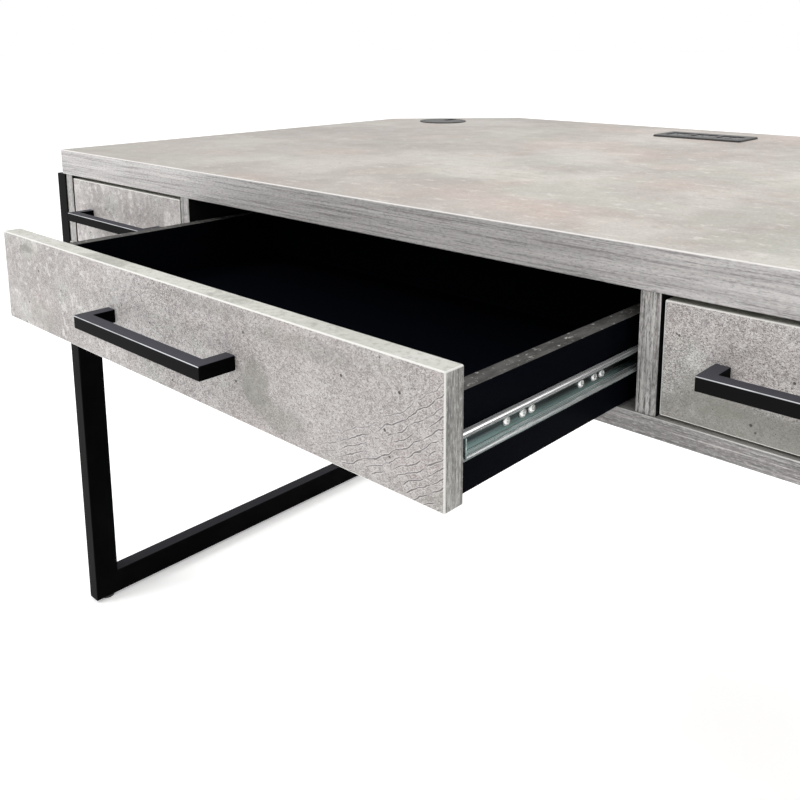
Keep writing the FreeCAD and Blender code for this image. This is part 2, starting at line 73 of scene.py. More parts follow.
def material(name):
    """An empty node material: its tree and its shader."""
    made = bpy.data.materials.new(name)
    made.use_nodes = True
    tree = made.node_tree
    tree.nodes.clear()
    shader = add(tree, "ShaderNodeBsdfPrincipled")
    add(tree, "ShaderNodeOutputMaterial", {"Surface": shader.outputs[0]})
    return made, tree, shader


def place(tree, scale=(1, 1, 1), turn=(0, 0, 0), shift=(0, 0, 0)):
    """Object coordinates, stretched, turned and moved."""
    where = add(tree, "ShaderNodeTexCoord")
    mapped = add(
        tree, "ShaderNodeMapping",
        {"Vector": where.outputs["Object"], "Scale": scale, "Rotation": turn, "Location": shift},
    )
    return mapped.outputs[0]


def noise(tree, size_mm, vector=None, detail=4.0, rough=0.55, twist=0.0):
    """Noise whose blobs are about size_mm across."""
    inputs = {"Scale": 1 / (size_mm * MM), "Detail": detail, "Roughness": rough, "Distortion": twist}
    inputs["Vector"] = vector if vector is not None else place(tree)
    return add(tree, "ShaderNodeTexNoise", inputs).outputs["Fac"]


def ramp(tree, value, low, high, out_low=0.0, out_high=1.0):
    """Maps low..high to out_low..out_high, smoothly and held at the ends."""
    made = add(
        tree, "ShaderNodeMapRange",
        {"Value": value, "From Min": low, "From Max": high, "To Min": out_low, "To Max": out_high},
        interpolation_type="SMOOTHSTEP",
    )
    return made.outputs[0]


def blend(tree, amount, first, second, mode="MIX"):
    """Mixes two colours, each a hex code or a socket."""
    made = add(tree, "ShaderNodeMix", data_type="RGBA", blend_type=mode)
    for index, value in ((6, first), (7, second)):
        if isinstance(value, str):
            made.inputs[index].default_value = srgb(value)
        else:
            tree.links.new(value, made.inputs[index])
    if isinstance(amount, float):
        made.inputs[0].default_value = amount
    else:
        tree.links.new(amount, made.inputs[0])
    return made.outputs[2]


def sums(tree, operation, first, second=None):
    """One step of arithmetic on two numbers or sockets."""
    inputs = {0: first}
    if second is not None:
        inputs[1] = second
    return add(tree, "ShaderNodeMath", inputs, operation=operation).outputs[0]


def facing(tree):
    """The object-space normal as three sockets."""
    normal = add(tree, "ShaderNodeTexCoord").outputs["Normal"]
    return add(tree, "ShaderNodeSeparateXYZ", {0: normal}).outputs


def across(tree):
    """Object coordinates as three sockets, in metres."""
    where = add(tree, "ShaderNodeTexCoord").outputs["Object"]
    return add(tree, "ShaderNodeSeparateXYZ", {0: where}).outputs


def bump(tree, shader, height, depth_mm, strength=1.0, below=None):
    """Feeds a height map of that real depth to the shader, over another bump if one is given."""
    inputs = {"Height": height, "Distance": depth_mm * MM, "Strength": strength}
    if below is not None:
        inputs["Normal"] = below
    made = add(tree, "ShaderNodeBump", inputs)
    tree.links.new(made.outputs[0], shader.inputs["Normal"])
    return made.outputs[0]


def stains(tree, colour, places, shade):
    """Darkens chosen spots: each is (across, up, half width, half height, strength), in mm."""
    x, _, z = across(tree)
    ragged = sums(tree, "MULTIPLY", sums(tree, "SUBTRACT", noise(tree, 11, detail=4), 0.5), 1.3)
    for mid_x, mid_z, half_x, half_z, strength in places:
        dx = sums(tree, "DIVIDE", sums(tree, "SUBTRACT", x, mid_x * MM), half_x * MM)
        dz = sums(tree, "DIVIDE", sums(tree, "SUBTRACT", z, mid_z * MM), half_z * MM)
        far = sums(tree, "ADD", sums(tree, "MULTIPLY", dx, dx), sums(tree, "MULTIPLY", dz, dz))
        inside = ramp(tree, sums(tree, "ADD", far, ragged), 1.3, 0.1, 0, strength)
        colour = blend(tree, inside, colour, shade)
    return colour


def clouds(tree, colour, size, tints):
    """Lays broad soft patches over a colour, one tint at a time."""
    for number, (tint, strength) in enumerate(tints):
        where = place(tree, shift=(3 * number, 5 * number, 2 * number))
        patch = ramp(tree, noise(tree, size, where, 3, 0.5), 0.47, 0.66, 0, strength)
        colour = blend(tree, patch, colour, tint)
    return colour


def pits(tree, spread, chosen_size, radius):
    """1 inside small scattered pits, 0 elsewhere."""
    field = add(
        tree, "ShaderNodeTexVoronoi",
        {"Vector": place(tree), "Scale": 1 / (spread * MM), "Randomness": 1.0},
    ).outputs["Distance"]
    inside = ramp(tree, field, radius, radius * 0.55)
    few = ramp(tree, noise(tree, chosen_size, place(tree, shift=(2, 9, 4)), 1), 0.52, 0.56)
    return sums(tree, "MULTIPLY", inside, few)


def top_laminate():
    """Stone-look laminate, pressed matt: greige clouds, pale flecks, trowel dints and a few pits."""
    made, tree, shader = material("stone_look_laminate_matt")
    colour = blend(tree, ramp(tree, noise(tree, 260, detail=3), 0.35, 0.65), TOP_DARK, TOP_LIGHT)
    colour = clouds(tree, colour, 150, (("#b9a79d", 0.55), ("#aab0a4", 0.45), ("#c9c4bd", 0.5)))
    flecks = noise(tree, 11, place(tree, (0.7, 1, 1)), 5, 0.62)
    colour = blend(tree, ramp(tree, flecks, 0.55, 0.70, 0, 0.55), colour, "#d0cac3")
    colour = blend(tree, ramp(tree, flecks, 0.46, 0.32, 0, 0.45), colour, "#958c85")
    fine = noise(tree, 3.0, place(tree, (0.8, 1, 1), shift=(5, 2, 0)), 4, 0.65)
    colour = blend(tree, ramp(tree, fine, 0.53, 0.68, 0, 0.5), colour, "#8d857e")
    colour = blend(tree, ramp(tree, fine, 0.45, 0.32, 0, 0.4), colour, "#d6d0c9")
    # Painted darker towards the left end, to match the photo's light
    colour = blend(tree, ramp(tree, across(tree)["X"], 0.15, -0.55, 0, 0.45), colour, "#8c8983")
    pit = pits(tree, 46, 60, 0.055)
    colour = blend(tree, sums(tree, "MULTIPLY", pit, 0.8), colour, "#4e4641")
    tree.links.new(colour, shader.inputs["Base Color"])
    tree.links.new(ramp(tree, noise(tree, 40), 0.3, 0.7, 0.44, 0.56), shader.inputs["Roughness"])
    under = bump(tree, shader, flecks, 0.25, 0.35)
    bump(tree, shader, sums(tree, "SUBTRACT", 1.0, pit), 0.3, 0.6, under)
    return made


def wood_lines(tree, upright):
    """Streaks of printed grain: level ones are fine in Z, upright ones fine in X and Y."""
    squeeze = (1, 1, 0.03) if upright else (0.02, 0.02, 1)
    broad = noise(tree, 8, place(tree, squeeze), 3, 0.55, 0.2)
    fine = noise(tree, 2.0, place(tree, squeeze, shift=(4, 4, 4)), 4, 0.72)
    tooth = noise(tree, 1.3, place(tree, (1, 1, 0.25) if upright else (0.25, 0.25, 1)), 3, 0.7)
    return broad, fine, tooth


def grain_colour(tree, upright, light="#a8a6a4", middle="#8b8886", dark="#545150", depth=1.0):
    """Grey weathered wood print: pale ground, darker pores along the grain and a fine pressed tooth."""
    broad, fine, tooth = wood_lines(tree, upright)
    colour = blend(tree, ramp(tree, broad, 0.36, 0.64), middle, light)
    colour = blend(tree, ramp(tree, fine, 0.505, 0.62, 0, 0.85 * depth), colour, dark)
    colour = blend(tree, ramp(tree, fine, 0.46, 0.34, 0, 0.7 * depth), colour, "#c9c6c2")
    colour = blend(tree, ramp(tree, tooth, 0.51, 0.64, 0, 0.6 * depth), colour, dark)
    colour = blend(tree, ramp(tree, tooth, 0.46, 0.34, 0, 0.5 * depth), colour, "#c9c7c4")
    return colour, sums(tree, "ADD", fine, sums(tree, "MULTIPLY", tooth, 0.5))


def arris_amount(tree):
    """1 on the rounded corners between two flat faces, 0 on the faces."""
    x, y, z = facing(tree)
    largest = sums(
        tree, "MAXIMUM", sums(tree, "ABSOLUTE", x),
        sums(tree, "MAXIMUM", sums(tree, "ABSOLUTE", y), sums(tree, "ABSOLUTE", z)),
    )
    return ramp(tree, largest, 0.995, 0.93)


def edging(name):
    """2 mm ABS edging, printed with level grey wood grain; rounded corners painted paler, for shine."""
    made, tree, shader = material(name)
    colour, height = grain_colour(tree, False, "#bab7b6", "#a5a2a1", "#726f6e", 0.8)
    z = facing(tree)["Z"]
    corner = sums(tree, "MULTIPLY", ramp(tree, z, 0.15, 0.6), ramp(tree, z, 0.999, 0.96))
    colour = blend(tree, sums(tree, "MULTIPLY", corner, 0.75), colour, "#e6e3df")
    upper = ramp(tree, z, 0.97, 0.999)
    colour = blend(tree, sums(tree, "MULTIPLY", upper, 0.8), colour, TOP_LIGHT)
    tree.links.new(colour, shader.inputs["Base Color"])
    tree.links.new(ramp(tree, height, 0.5, 1.0, 0.42, 0.56), shader.inputs["Roughness"])
    bump(tree, shader, height, 0.12, 0.5)
    return made


def rings(tree):
    """Growth rings pressed into the right end of the wide front: arcs about a far centre above it."""
    x, _, z = across(tree)
    wander = sums(tree, "MULTIPLY", sums(tree, "SUBTRACT", noise(tree, 15, detail=4), 0.5), 0.008)
    dx = sums(tree, "SUBTRACT", x, 0.062)
    dz = sums(tree, "SUBTRACT", z, 1.0)
    far = sums(
        tree, "SQRT",
        sums(tree, "ADD", sums(tree, "MULTIPLY", dx, dx), sums(tree, "MULTIPLY", dz, dz)),
    )
    wave = sums(tree, "SINE", sums(tree, "MULTIPLY", sums(tree, "ADD", far, wander), TAU / (5.6 * MM)))
    line = ramp(tree, wave, 0.78, 0.97)
    pale = ramp(tree, wave, 0.35, 0.74)
    patchy = ramp(tree, noise(tree, 12, detail=3), 0.36, 0.50)
    zone = sums(tree, "MULTIPLY", ramp(tree, x, 0.17, 0.235), ramp(tree, far, 0.372, 0.388))
    zone = sums(tree, "MULTIPLY", zone, ramp(tree, x, 0.330, 0.325))
    here = sums(tree, "MULTIPLY", patchy, zone)
    return sums(tree, "MULTIPLY", line, here), sums(tree, "MULTIPLY", pale, here)


def front_laminate():
    """Concrete-look laminate: greige ground, cement speckle, air pits, stains, a painted pull shadow, and
    edging on four sides with painted light on its corners and level edges.
    """
    made, tree, shader = material("concrete_look_laminate")
    x = across(tree)["X"]
    colour = blend(tree, ramp(tree, noise(tree, 120, detail=3), 0.36, 0.64), FRONT_DARK, FRONT_LIGHT)
    colour = clouds(tree, colour, 60, (("#b3a6a1", 0.4), ("#a6a9a1", 0.5), ("#bab7b6", 0.5)))
    blotch = noise(tree, 13, detail=5, rough=0.65, twist=0.6)
    calm = ramp(tree, x, 0.05, -0.25, 0.35, 0.85)
    colour = blend(tree, sums(tree, "MULTIPLY", ramp(tree, blotch, 0.54, 0.64), calm), colour, "#c9c6c4")
    colour = blend(tree, sums(tree, "MULTIPLY", ramp(tree, blotch, 0.46, 0.36), calm), colour, "#918d8a")
    grit = noise(tree, 0.95, place(tree, (0.7, 1, 1)), 3, 0.65, 1.2)
    coarse = noise(tree, 5.5, place(tree, shift=(1, 1, 1)), 4, 0.7, 0.5)
    busy = ramp(tree, x, -0.28, 0.02, 0.5, 1.0)
    pale_grit = sums(tree, "MULTIPLY", ramp(tree, grit, 0.505, 0.60, 0, 0.9), busy)
    dark_grit = sums(tree, "MULTIPLY", ramp(tree, grit, 0.485, 0.38, 0, 0.95), busy)
    colour = blend(tree, pale_grit, colour, "#d3d0ce")
    colour = blend(tree, dark_grit, colour, "#5f5a59")
    colour = blend(tree, ramp(tree, coarse, 0.55, 0.66, 0, 0.35), colour, "#d3d0ce")
    colour = blend(tree, ramp(tree, coarse, 0.45, 0.34, 0, 0.5), colour, "#716c6b")
    # Painted duller on the right half of the wide front, to match the photo's light
    duller = sums(tree, "MULTIPLY", ramp(tree, x, 0.0, 0.16, 0, 0.3), ramp(tree, x, 0.332, 0.326))
    colour = blend(tree, duller, colour, "#837b79")
    # Stains, and beside the middle pull's right post also the pull's painted shadow
    colour = stains(tree, colour, FRONT_STAINS_AND_PULL_SHADOW, "#73736a")
    pit = sums(tree, "MAXIMUM", pits(tree, 13, 24, 0.12), pits(tree, 4.5, 9, 0.12))
    colour = blend(tree, sums(tree, "MULTIPLY", pit, 0.9), colour, "#2e2a29")
    line, pale = rings(tree)
    colour = blend(tree, sums(tree, "MULTIPLY", pale, 0.5), colour, "#d3d0ce")
    colour = blend(tree, sums(tree, "MULTIPLY", line, 0.9), colour, "#565050")
    # The level edging is painted paler than the upright edging: painted light from above
    level = grain_colour(tree, False, "#bdbdb5", "#adada5", "#85857d", 0.7)[0]
    upright = grain_colour(tree, True, "#979692", "#7d7c79", "#565452")[0]
    nx, _, nz = facing(tree)
    colour = blend(tree, ramp(tree, sums(tree, "ABSOLUTE", nx), 0.55, 0.75), colour, upright)
    colour = blend(tree, ramp(tree, sums(tree, "ABSOLUTE", nz), 0.55, 0.75), colour, level)
    # Rounded corners of the fronts painted pale: a painted highlight
    colour = blend(tree, sums(tree, "MULTIPLY", arris_amount(tree), 0.8), colour, "#e2e1dc")
    tree.links.new(colour, shader.inputs["Base Color"])
    shader.inputs["Roughness"].default_value = 0.55
    under = bump(tree, shader, sums(tree, "ADD", grit, sums(tree, "MULTIPLY", blotch, 0.5)), 0.25, 0.5)
    bump(tree, shader, sums(tree, "SUBTRACT", 1.0, sums(tree, "MAXIMUM", pit, line)), 0.4, 0.6, under)
    return made


def case_laminate():
    """Case boards: grain edging in front, black melamine inside, grey grain laminate on the outer faces."""
    made, tree, shader = material("case_board_laminate")
    upright, height = grain_colour(tree, True, "#aeacaa", "#8b8886", "#474443")
    x = across(tree)["X"]
    nx, ny, _ = facing(tree)
    tooth = noise(tree, 2.5, detail=4)
    inside = blend(tree, ramp(tree, tooth, 0.35, 0.7), "#0b0b0d", "#121214")
    colour = blend(tree, ramp(tree, ny, -0.4, -0.7), inside, upright)
    outer = sums(tree, "MULTIPLY", ramp(tree, sums(tree, "ABSOLUTE", x), 0.6395, 0.6405),
                 ramp(tree, sums(tree, "ABSOLUTE", nx), 0.5, 0.8))
    colour = blend(tree, sums(tree, "MAXIMUM", outer, ramp(tree, ny, 0.5, 0.8)), colour, upright)
    tree.links.new(colour, shader.inputs["Base Color"])
    shader.inputs["Roughness"].default_value = 0.5
    shader.inputs["Specular IOR Level"].default_value = 0.3
    bump(tree, shader, sums(tree, "ADD", height, tooth), 0.08, 0.4)
    return made


def board_laminate():
    """Grey wood-grain laminate on both faces of a lying board and on its edges."""
    made, tree, shader = material("grey_grain_laminate")
    colour, height = grain_colour(tree, False, "#8e8b8a", "#777473", "#4d4a49", 0.85)
    flat = flat_grain(tree)
    z = facing(tree)["Z"]
    colour = blend(tree, ramp(tree, sums(tree, "ABSOLUTE", z), 0.9, 0.99), colour, flat)
    # Rounded corners painted pale: a painted highlight
    corner = sums(tree, "MULTIPLY", ramp(tree, z, 0.15, 0.6), ramp(tree, z, 0.999, 0.96))
    colour = blend(tree, sums(tree, "MULTIPLY", corner, 0.8), colour, "#e6e5e1")
    tree.links.new(colour, shader.inputs["Base Color"])
    shader.inputs["Roughness"].default_value = 0.5
    bump(tree, shader, height, 0.1, 0.5)
    return made


def flat_grain(tree):
    """Grain on a level face, running along X."""
    broad = noise(tree, 7, place(tree, (0.03, 1, 1)), 4, 0.6, 0.3)
    fine = noise(tree, 2, place(tree, (0.03, 1, 1), shift=(3, 3, 0)), 3)
    colour = blend(tree, ramp(tree, broad, 0.36, 0.64), "#9a9794", "#c2bfbb")
    return blend(tree, ramp(tree, fine, 0.54, 0.70, 0, 0.6), colour, "#7a7775")


def black_melamine(name, scuffed):
    """Black melamine with a faint pearl texture; sawn top edges are rubbed to dark grey with pale flecks."""
    made, tree, shader = material(name)
    tooth = noise(tree, 1.6, detail=3)
    colour = blend(tree, ramp(tree, tooth, 0.35, 0.7), "#05060a", "#090b11")
    if scuffed:
        upper = ramp(tree, facing(tree)["Z"], 0.6, 0.9)
        rub = noise(tree, 14, place(tree, (1.5, 0.5, 1)), 4, 0.6)
        fleck = noise(tree, 4.5, place(tree, (1, 0.5, 1), shift=(2, 0, 0)), 5, 0.75)
        rubbed = sums(tree, "MULTIPLY", upper, ramp(tree, rub, 0.3, 0.6, 0.5, 0.95))
        colour = blend(tree, rubbed, colour, "#565553")
        colour = blend(tree, sums(tree, "MULTIPLY", upper, ramp(tree, fleck, 0.57, 0.66)), colour, "#9d9b97")
    tree.links.new(colour, shader.inputs["Base Color"])
    shader.inputs["Roughness"].default_value = 0.3
    shader.inputs["Specular IOR Level"].default_value = 0.004
    bump(tree, shader, tooth, 0.05, 0.5)
    return made


def powder_coat(name, upper, shining=False):
    """Satin black powder coat on steel with an orange-peel ripple.

    The faces that look forwards and up are painted paler, and pulls get a pale line along the square front
    edge of their top. Both stand in for sheen that the shader and the lights don't give here.
    """
    made, tree, shader = material(name)
    peel = noise(tree, 1.1, detail=2, rough=0.4)
    dust = noise(tree, 60, detail=3)
    _, y, z = facing(tree)
    colour = blend(tree, ramp(tree, dust, 0.35, 0.7), "#030304", "#060607")
    colour = blend(tree, ramp(tree, y, -0.5, -0.9, 0, 0.85), colour, "#161617")
    colour = blend(tree, ramp(tree, z, 0.5, 0.95), colour, upper)
    if shining:
        height = across(tree)[2]
        strip = ramp(tree, height, PULL_TOP - 1.5 * MM, PULL_TOP - 0.9 * MM)
        patchy = ramp(tree, noise(tree, 45, detail=2), 0.3, 0.6, 0.55, 1.0)
        strip = sums(tree, "MULTIPLY", sums(tree, "MULTIPLY", strip, patchy), ramp(tree, y, -0.8, -0.95))
        colour = blend(tree, strip, colour, "#d2d3d6")
    tree.links.new(colour, shader.inputs["Base Color"])
    tree.links.new(ramp(tree, dust, 0.3, 0.7, 0.34, 0.42), shader.inputs["Roughness"])
    shader.inputs["Specular IOR Level"].default_value = 0.012
    bump(tree, shader, peel, 0.04, 0.5)
    return made


def zinc_steel(name, light, dark, roughness, metal=1.0, upper=None, lower=None):
    """Bright zinc-plated steel: fine drawing lines along its length and a cool grey cloud.

    The faces that look up (upper) and the lower half of a slide's web (lower) can be painted paler, in place
    of light.
    """
    made, tree, shader = material(name)
    drawn = noise(tree, 0.8, place(tree, (1, 0.004, 1)), 3)
    cloud = noise(tree, 9, place(tree, (1, 0.1, 1)), 3)
    colour = blend(tree, ramp(tree, cloud, 0.35, 0.65), dark, light)
    colour = blend(tree, ramp(tree, drawn, 0.50, 0.62, 0, 0.6), colour, dark)
    if upper:
        colour = blend(tree, ramp(tree, facing(tree)[2], 0.25, 0.7), colour, upper)
    if lower:
        low_half = ramp(tree, across(tree)["Z"], SLIDE_LEVEL - 0.5 * MM, SLIDE_LEVEL - 6 * MM, 0, 0.9)
        colour = blend(tree, low_half, colour, lower)
    tree.links.new(colour, shader.inputs["Base Color"])
    shader.inputs["Metallic"].default_value = metal
    tree.links.new(ramp(tree, drawn, 0.3, 0.7, roughness, roughness + 0.14), shader.inputs["Roughness"])
    bump(tree, shader, drawn, 0.02, 0.5)
    return made


def moulded_plastic(name, colour_code, roughness):
    """Injection-moulded ABS with a fine spark-eroded texture."""
    made, tree, shader = material(name)
    texture = noise(tree, 0.7, detail=2)
    cloud = noise(tree, 25, detail=2)
    base = blend(tree, ramp(tree, cloud, 0.3, 0.7, 0, 0.5), colour_code, "#2b2b2c")
    tree.links.new(base, shader.inputs["Base Color"])
    rough = ramp(tree, texture, 0.3, 0.7, roughness, roughness + 0.1)
    tree.links.new(rough, shader.inputs["Roughness"])
    bump(tree, shader, texture, 0.05, 0.4)
    return made


def studio_floor():
    """Painted pale studio floor with a barely visible tooth; it also glows faintly, painted light that lifts
    the shadows on it.
    """
    made, tree, shader = material("pale_studio_floor")
    tooth = noise(tree, 300, detail=3)
    colour = blend(tree, ramp(tree, tooth, 0.3, 0.7), "#fbfbfb", "#fefefe")
    tree.links.new(colour, shader.inputs["Base Color"])
    # Faint glow: painted light on the floor
    shader.inputs["Emission Color"].default_value = (1, 1, 1, 1)
    shader.inputs["Emission Strength"].default_value = 0.28
    shader.inputs["Roughness"].default_value = 0.9
    return made


TOP_LIGHT, TOP_DARK = "#aca49d", "#9b928b"
RUNNER_LOW, RUNNER_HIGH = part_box("middle_drawer_runners")
SLIDE_LEVEL = (RUNNER_LOW[2] + RUNNER_HIGH[2]) / 2
PULL_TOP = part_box("middle_drawer_pull")[1][2]
FRONT_LIGHT, FRONT_DARK = "#a29c9b", "#928c8a"
# Stained spots on the drawer fronts, in mm: across, up, half width, half height, strength.
# The first two, beside the middle pull's right post, are partly stain and partly the pull's painted shadow.
FRONT_STAINS_AND_PULL_SHADOW = (
    (122, 662, 20, 24, 0.6), (150, 642, 34, 14, 0.4), (-262, 709, 16, 5, 0.6), (60, 712, 60, 7, 0.35),
    (180, 705, 70, 9, 0.3), (382, 654, 36, 20, 0.6), (430, 632, 130, 22, 0.75), (-230, 640, 30, 16, 0.3),
    (-500, 650, 50, 20, 0.3),
)

top_stone = top_laminate()
edge_level = edging("grey_grain_edging_level")
front_concrete = front_laminate()
case_board = case_laminate()
bottom_board = board_laminate()
melamine = black_melamine("black_melamine_board", True)
melamine_panel = black_melamine("black_melamine_panel", False)
coat = powder_coat("satin_black_powder_coat", "#2c2c30")
pull_coat = powder_coat("satin_black_pull_coat", "#46464c", True)
slide_zinc = zinc_steel("drawn_zinc_steel", "#b4c6c4", "#4a5856", 0.2, 0.7, upper="#ffffff")
# The webs' zinc is painted dark, a painted reflection of a dark room, and paler on its lower half as painted
# light
slide_web_painted_dark = zinc_steel("drawn_zinc_web_painted_dark", "#30393a", "#121617", 0.22, lower="#8fa9a6")
screw_nickel = zinc_steel("nickel_plated_steel", "#f4f4f2", "#c9caca", 0.12, 0.85)
grommet_abs = moulded_plastic("moulded_abs_charcoal", "#2b2b2a", 0.42)
socket_abs = moulded_plastic("moulded_polycarbonate_black", "#0d0d0e", 0.28)


def finish_of(node):
    """The material that a CAD node wears."""
    if node == "tabletop_upper_board":
        return top_stone
    if node in ("tabletop_lower_board", "case_bottom", "rear_rail"):
        return bottom_board
    if node.startswith("edge_band"):
        return edge_level
    if node == "case_back" or node.startswith(("end_panel", "divider")):
        return case_board
    if node.endswith("_drawer_front"):
        return front_concrete
    if node.endswith("_drawer_bottom"):
        return melamine_panel
    if node.endswith(("_left_side", "_right_side", "_drawer_back")):
        return melamine
    if node.endswith("_pull"):
        return pull_coat
    if node.endswith(("_post", "_rail")):
        return coat
    if node.endswith(("_runners", "_case_slides", "_ball_cages")):
        return slide_zinc
    if node.endswith("_screws") or node in ("frame_bolts", "top_brackets"):
        return screw_nickel
    if node == "power_outlets":
        return socket_abs
    return grommet_abs


def wear(piece, finish):
    """Puts one material in every slot of a piece."""
    piece.data.materials.clear()
    piece.data.materials.append(finish)


for node_name, node_object in nodes.items():
    wear(node_object, finish_of(node_name))


# ---------------------------------------------------------------- pieces

def new_object(name, vertices, faces):
    """A mesh object at the origin, linked to the scene."""
    mesh = bpy.data.meshes.new(name)
    mesh.from_pydata(vertices, [], faces)
    mesh.update()
    made = bpy.data.objects.new(name, mesh)
    bpy.context.scene.collection.objects.link(made)
    return made


def tidy_mesh(piece, smooth_degrees=35):
    """Merges doubles, turns normals outward and shades smooth below an angle."""
    shape = bmesh.new()
    shape.from_mesh(piece.data)
    bmesh.ops.remove_doubles(shape, verts=shape.verts, dist=1e-6)
    bmesh.ops.recalc_face_normals(shape, faces=shape.faces)
    for face in shape.faces:
        face.smooth = True
    for edge in shape.edges:
        flat = len(edge.link_faces) == 2 and edge.calc_face_angle(0) < math.radians(smooth_degrees)
        edge.smooth = flat
    shape.to_mesh(piece.data)
    shape.free()


def outline_of_sheet(line, thick):
    """The closed outline of bent sheet metal: the line itself and the same line moved in by its thickness."""
    inner = []
    for n, point in enumerate(line):
        before = line[max(n - 1, 0)]
        after = line[min(n + 1, len(line) - 1)]
        along = (after[0] - before[0], after[1] - before[1])
        size = math.hypot(*along)
        inner.append((point[0] + along[1] / size * thick, point[1] - along[0] / size * thick))
    return line + inner[::-1]


def sweep(outline, x_of, y0, y1, mid_z):
    """Extrudes a (depth, height) outline along Y; x_of turns a depth in mm into X."""
    count = len(outline)
    vertices = [(x_of(d), y, mid_z + h * MM) for y in (y0, y1) for d, h in outline]
    faces = [(n, (n + 1) % count, count + (n + 1) % count, count + n) for n in range(count)]
    half = count // 2
    for base in (0, count):
        for n in range(half - 1):
            faces.append((base + n, base + n + 1, base + count - 2 - n, base + count - 1 - n))
    return vertices, faces


# Half profiles of the slide members, from the middle of the web to the lip: depth from the case and height
RUNNER_HALF = (
    (12.7, 0), (12.7, 7.0), (12.45, 7.9), (11.8, 8.4), (11.1, 8.6), (8.3, 8.6), (7.5, 8.45), (6.8, 7.95),
    (6.0, 7.75), (5.2, 7.95), (4.5, 8.45), (3.9, 8.6), (3.3, 8.45), (3.2, 7.9),
)
CASE_HALF = (
    (0, 0), (0, 12.0), (0.25, 12.9), (0.9, 13.4), (1.6, 13.5), (4.2, 13.5), (4.9, 13.2), (5.5, 13.05),
    (6.5, 13.05), (7.1, 13.2), (7.8, 13.5), (9.4, 13.5), (10.1, 13.25), (10.45, 12.7), (10.5, 11.6),
)
SHEET = 1.1
WEB_AREA = 0.002
TAB_LOW, TAB_HIGH = -8.0, 7.0
TAB_DEPTHS = (3.4, 11.8)
TAB_FRONT, TAB_BACK = 2.2, 3.4


def full_profile(half, inward):
    """Mirrors a half profile and gives it its sheet thickness."""
    line = [(d, -h) for d, h in half[:0:-1]] + list(half)
    return outline_of_sheet(line, SHEET * inward)


def slide_pair(name, body, node, half, inward, with_tab):
    """Both members of one kind in one bay, with rolled races, in place of the CAD channels."""
    (x0, y0, z0), (x1, y1, z1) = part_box(node)
    mid_z = (z0 + z1) / 2
    reach = min(d for d, _ in half)
    outline = full_profile(half, inward)
    vertices, faces = [], []

    def from_left(depth):
        """X of a depth, measured from the bay's left side."""
        return x0 + (depth - reach) * MM

    def from_right(depth):
        """X of a depth, measured from the bay's right side."""
        return x1 - (depth - reach) * MM

    for x_of in (from_left, from_right):
        shapes = [sweep(outline, x_of, y0, y1, mid_z)]
        if with_tab:
            low, high = TAB_DEPTHS
            tab = [(low, TAB_LOW), (high, TAB_LOW), (high, TAB_HIGH), (low, TAB_HIGH)]
            shapes.append(sweep(tab, x_of, y0 + TAB_FRONT * MM, y0 + TAB_BACK * MM, mid_z))
        for more_vertices, more_faces in shapes:
            start = len(vertices)
            vertices += more_vertices
            faces += [tuple(start + n for n in face) for face in more_faces]
    piece = new_object(name, vertices, faces)
    tidy_mesh(piece)
    wear(piece, slide_zinc)
    # The web's large faces take the darker painted copy of the zinc
    piece.data.materials.append(slide_web_painted_dark)
    for face in piece.data.polygons:
        if abs(face.normal.x) > 0.99 and face.area > WEB_AREA:
            face.material_index = 1
    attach(piece, body)
    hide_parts(node)


for drawer in DRAWERS:
    slide_pair(
        drawer + "_runner_channels", drawer + "_drawer", drawer + "_drawer_runners", RUNNER_HALF, -1, True,
    )
    slide_pair(drawer + "_case_channels", "desk", drawer + "_case_slides", CASE_HALF, 1, False)


# In mm: a CAD screw thinner than this radius is a plain pin with no head, and gets a sunk head of this radius
PLAIN_PIN = 1.5
SUNK_HEAD = 1.9
HEAD_HEIGHT = 2.1
RECESS = 1.1
POINT_LENGTH, POINT_RADIUS = 0.8, 0.1


def loose_solids(node):
    """The vertices of each separate solid of a CAD node, found by walking its edges."""
    shape = bmesh.new()
    shape.from_mesh(nodes[node].data)
    bmesh.ops.remove_doubles(shape, verts=shape.verts, dist=1e-6)
    seen, solids = set(), []
    for vertex in shape.verts:
        if vertex in seen:
            continue
        stack, group = [vertex], []
        seen.add(vertex)
        while stack:
            here = stack.pop()
            group.append(here.co.copy())
            for edge in here.link_edges:
                other = edge.other_vert(here)
                if other not in seen:
                    seen.add(other)
                    stack.append(other)
        solids.append(group)
    shape.free()
    return solids


def fixing_places(node):
    """For each screw or bolt of a node: its head's seat, its outward way and its head radius."""
    places = []
    for group in loose_solids(node):
        low = Vector([min(p[i] for p in group) for i in range(3)])
        high = Vector([max(p[i] for p in group) for i in range(3)])
        axis = max(range(3), key=lambda i: high[i] - low[i])
        middle = (low + high) / 2
        off = [p - middle for p in group]
        for vector in off:
            vector[axis] = 0
        radius = max(v.length for v in off)
        wide = [p[axis] for p, v in zip(group, off) if v.length > radius * 0.98]
        outward = 1 if sum(wide) / len(wide) > middle[axis] else -1
        if radius < PLAIN_PIN * MM:
            outward = 1 if middle[axis] > 0 else -1
            seat = high[axis] if outward > 0 else low[axis]
        else:
            seat = min(wide) if outward > 0 else max(wide)
        place_at = middle.copy()
        place_at[axis] = seat
        way = Vector((0, 0, 0))
        way[axis] = outward
        places.append((place_at, way, radius))
    return places


